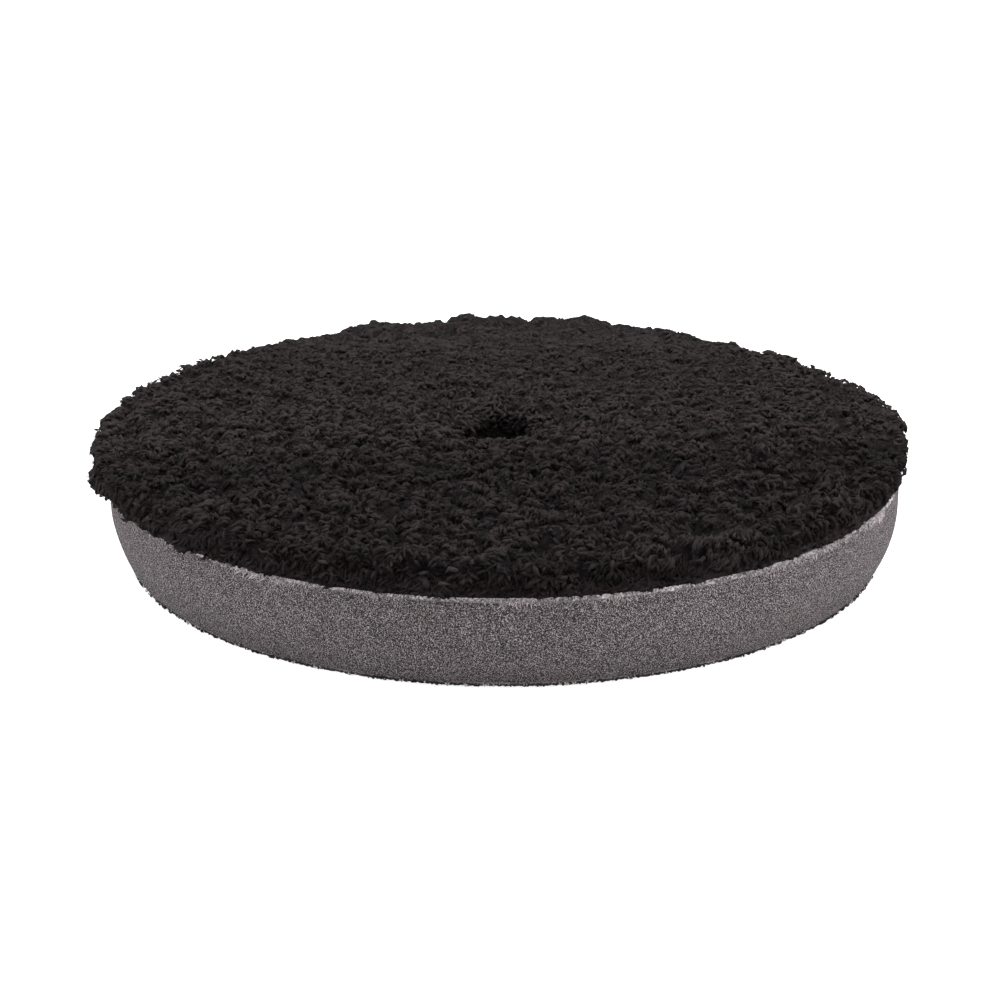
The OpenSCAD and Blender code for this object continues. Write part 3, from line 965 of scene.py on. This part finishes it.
# Brushed loops: each leaves the ground, reaches the floor side and comes back a step away,
# as half an ellipse. They stand on a sunflower spiral, and closer together along the edge.
def loopNap():
    draw = np.random.default_rng(81)
    inner, outer = holeRadius + 0.6, nap["radius"] - 0.5
    scale = loops["pitch"] / 1.7     # a sunflower spiral of this scale has that pitch
    index = np.arange(math.ceil((inner / scale) ** 2), math.floor((outer / scale) ** 2))
    far = np.concatenate([scale * np.sqrt(index),
                          np.full(loops["edgeCount"], nap["radius"] - 0.25)])
    spin = np.concatenate([index * math.pi * (3 - math.sqrt(5)),
                           np.arange(loops["edgeCount"]) * tau / loops["edgeCount"]])
    count = len(far)
    edge = np.arange(count) >= len(index)
    far = far + np.where(edge, draw.uniform(-0.3, 0.2, count), draw.uniform(-0.3, 0.15, count))
    face = draw.uniform(0, tau, count)
    foot = np.stack([far * np.cos(spin), far * np.sin(spin), np.full(count, nap["high"])], 1)
    step = np.stack([np.cos(face), np.sin(face), np.zeros(count)], 1)
    t = np.linspace(0, 1, loops["rings"])[None, :, None]
    wide = (loops["width"] * draw.uniform(0.7, 1.2, count))[:, None, None]
    deep = ((nap["high"] - nap["low"] - loops["radius"])
            * draw.uniform(0.8, 1.0, count))[:, None, None]
    drop = np.array([[[0, 0, -1.0]]])
    paths = (foot[:, None, :] + wide * (0.5 - 0.5 * np.cos(math.pi * t)) * step[:, None, :]
             + deep * np.sin(math.pi * t) * drop)
    reach = np.linalg.norm(paths[:, :, :2], axis=2, keepdims=True)
    hold = np.minimum(1, (nap["radius"] + 0.35) / reach)
    paths[:, :, :2] = paths[:, :, :2] * hold
    sideways = np.cross(step, [[0, 0, -1.0]])
    thick = np.where(edge, loops["edgeRadius"], loops["radius"]) * draw.uniform(0.7, 1.2, count)
    radii = np.repeat(thick[:, None], loops["rings"], 1)
    tone = draw.uniform(0, 1, count)
    tone = np.repeat(np.where(edge, 1.1 * (tone > 0.8), tone ** 2)[:, None], loops["rings"], 1)
    return tubeObject("loopNap", paths, radii, sideways, loopFilament, {"fibreTone": tone},
                      flatten=1.0)


napPiece = loopNap()
print("loop fabric made:", len(napPiece.data.polygons), "faces")

# each piece, the CAD part it stands for, which is hidden, and a slot name that is not used
for piece, node, slotName in [
        (foamPiece, "foam_interface", "foam"), (bedPiece, "pile_bed", "pile"),
        (clothPiece, "pile_cloth", "pile_cloth"), (groundPiece, "loop_ground", "loop_ground"),
        (napPiece, "loop_nap", "loop_nap"), (napBedPiece, "loop_nap", "loop_nap")]:
    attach(piece, "root")
    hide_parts(node)
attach(fringePiece, "root")
for node in ("face_film", "loop_film"):
    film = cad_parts[node]
    for place in film.material_slots:
        place.material = filmDull


studio = {"floorTone": "#d9d9d9", "floorGlow": 0.72, "skyStrength": 0.4, "floorHalf": 4000.0}


# White paper: it takes the pad's shadow, and for the camera alone it glows by as much as
# it falls short of white, so that it adds nothing to the lamps.
def floorMaterial():
    material, tree = newMaterial("matt paper floor")
    ray = addNode(tree, "ShaderNodeLightPath")
    paper = addNode(tree, "ShaderNodeBsdfDiffuse", {"Color": hexToLinear(studio["floorTone"])})
    glow = addNode(tree, "ShaderNodeMath", {0: ray.outputs["Is Camera Ray"],
                                           1: studio["floorGlow"]}, operation="MULTIPLY")
    light = addNode(tree, "ShaderNodeEmission", {"Strength": glow.outputs[0]})
    both = addNode(tree, "ShaderNodeAddShader", {0: paper.outputs["BSDF"],
                                                1: light.outputs["Emission"]})
    addNode(tree, "ShaderNodeOutputMaterial", {"Surface": both.outputs["Shader"]})
    return material


side = studio["floorHalf"]
corners = np.array([[-side, -side, 0], [side, -side, 0], [side, side, 0], [-side, side, 0]])
floorPiece = meshObject("floor", corners, np.array([[0, 1, 2, 3]]), floorMaterial())

# the sky is white to the camera, and lights the pad at its own lower strength
world = bpy.data.worlds.new("studio")
bpy.context.scene.world = world
world.use_nodes = True
world.node_tree.nodes.clear()
ray = addNode(world.node_tree, "ShaderNodeLightPath")
strength = addNode(world.node_tree, "ShaderNodeMapRange", {
    "Value": ray.outputs["Is Camera Ray"], "To Min": studio["skyStrength"], "To Max": 1.0})
sky = addNode(world.node_tree, "ShaderNodeBackground", {
    "Color": (1, 1, 1, 1), "Strength": strength.outputs["Result"]})
addNode(world.node_tree, "ShaderNodeOutputWorld", {"Surface": sky.outputs["Background"]})

# soft boxes: name, place, what they face, size, watts
lamps = [
    ("overhead soft box", (20, 150, 470), (0, 30, 20), 800, 4.15),
    ("right soft box", (620, -120, 240), (0, 0, 15), 380, 3.2),
    ("left soft box", (-620, -80, 260), (0, 0, 15), 380, 2.8),
    ("front fill", (0, -800, 220), (0, 0, 10), 500, 2.4),
]


# places a lamp, in mm, and turns it to face its target
def aim(thing, place, target):
    place, target = np.array(place, float), np.array(target, float)
    away = place - target
    flat = math.hypot(away[0], away[1])
    thing.location = place * mm
    thing.rotation_euler = (math.atan2(flat, away[2]), 0, math.atan2(away[0], -away[1]))


for name, place, target, size, watts in lamps:
    lamp = bpy.data.lights.new(name, "AREA")
    lamp.shape, lamp.size, lamp.energy = "DISK", size * mm, watts
    holder = bpy.data.objects.new(name, lamp)
    bpy.context.scene.collection.objects.link(holder)
    aim(holder, place, target)

# an 80 mm lens from 433 mm in front and 162 mm up, tipped down by 19.7 degrees
cameraLook = {"lens": 80, "aside": -0.9, "away": 433.1, "height": 162.4, "tipDown": 19.67}
camera = bpy.data.cameras.new("camera")
camera.lens, camera.sensor_width = cameraLook["lens"], 36
camera.clip_start, camera.clip_end = 0.01, 50
cameraHolder = bpy.data.objects.new("camera", camera)
cameraHolder.location = [v * mm for v in (cameraLook["aside"], -cameraLook["away"],
                                          cameraLook["height"])]
cameraHolder.rotation_euler = (math.radians(90 - cameraLook["tipDown"]), 0, 0)
bpy.context.scene.collection.objects.link(cameraHolder)
bpy.context.scene.camera = cameraHolder
bpy.context.scene.view_settings.view_transform = "Standard"
print("floor, lamps and camera set")
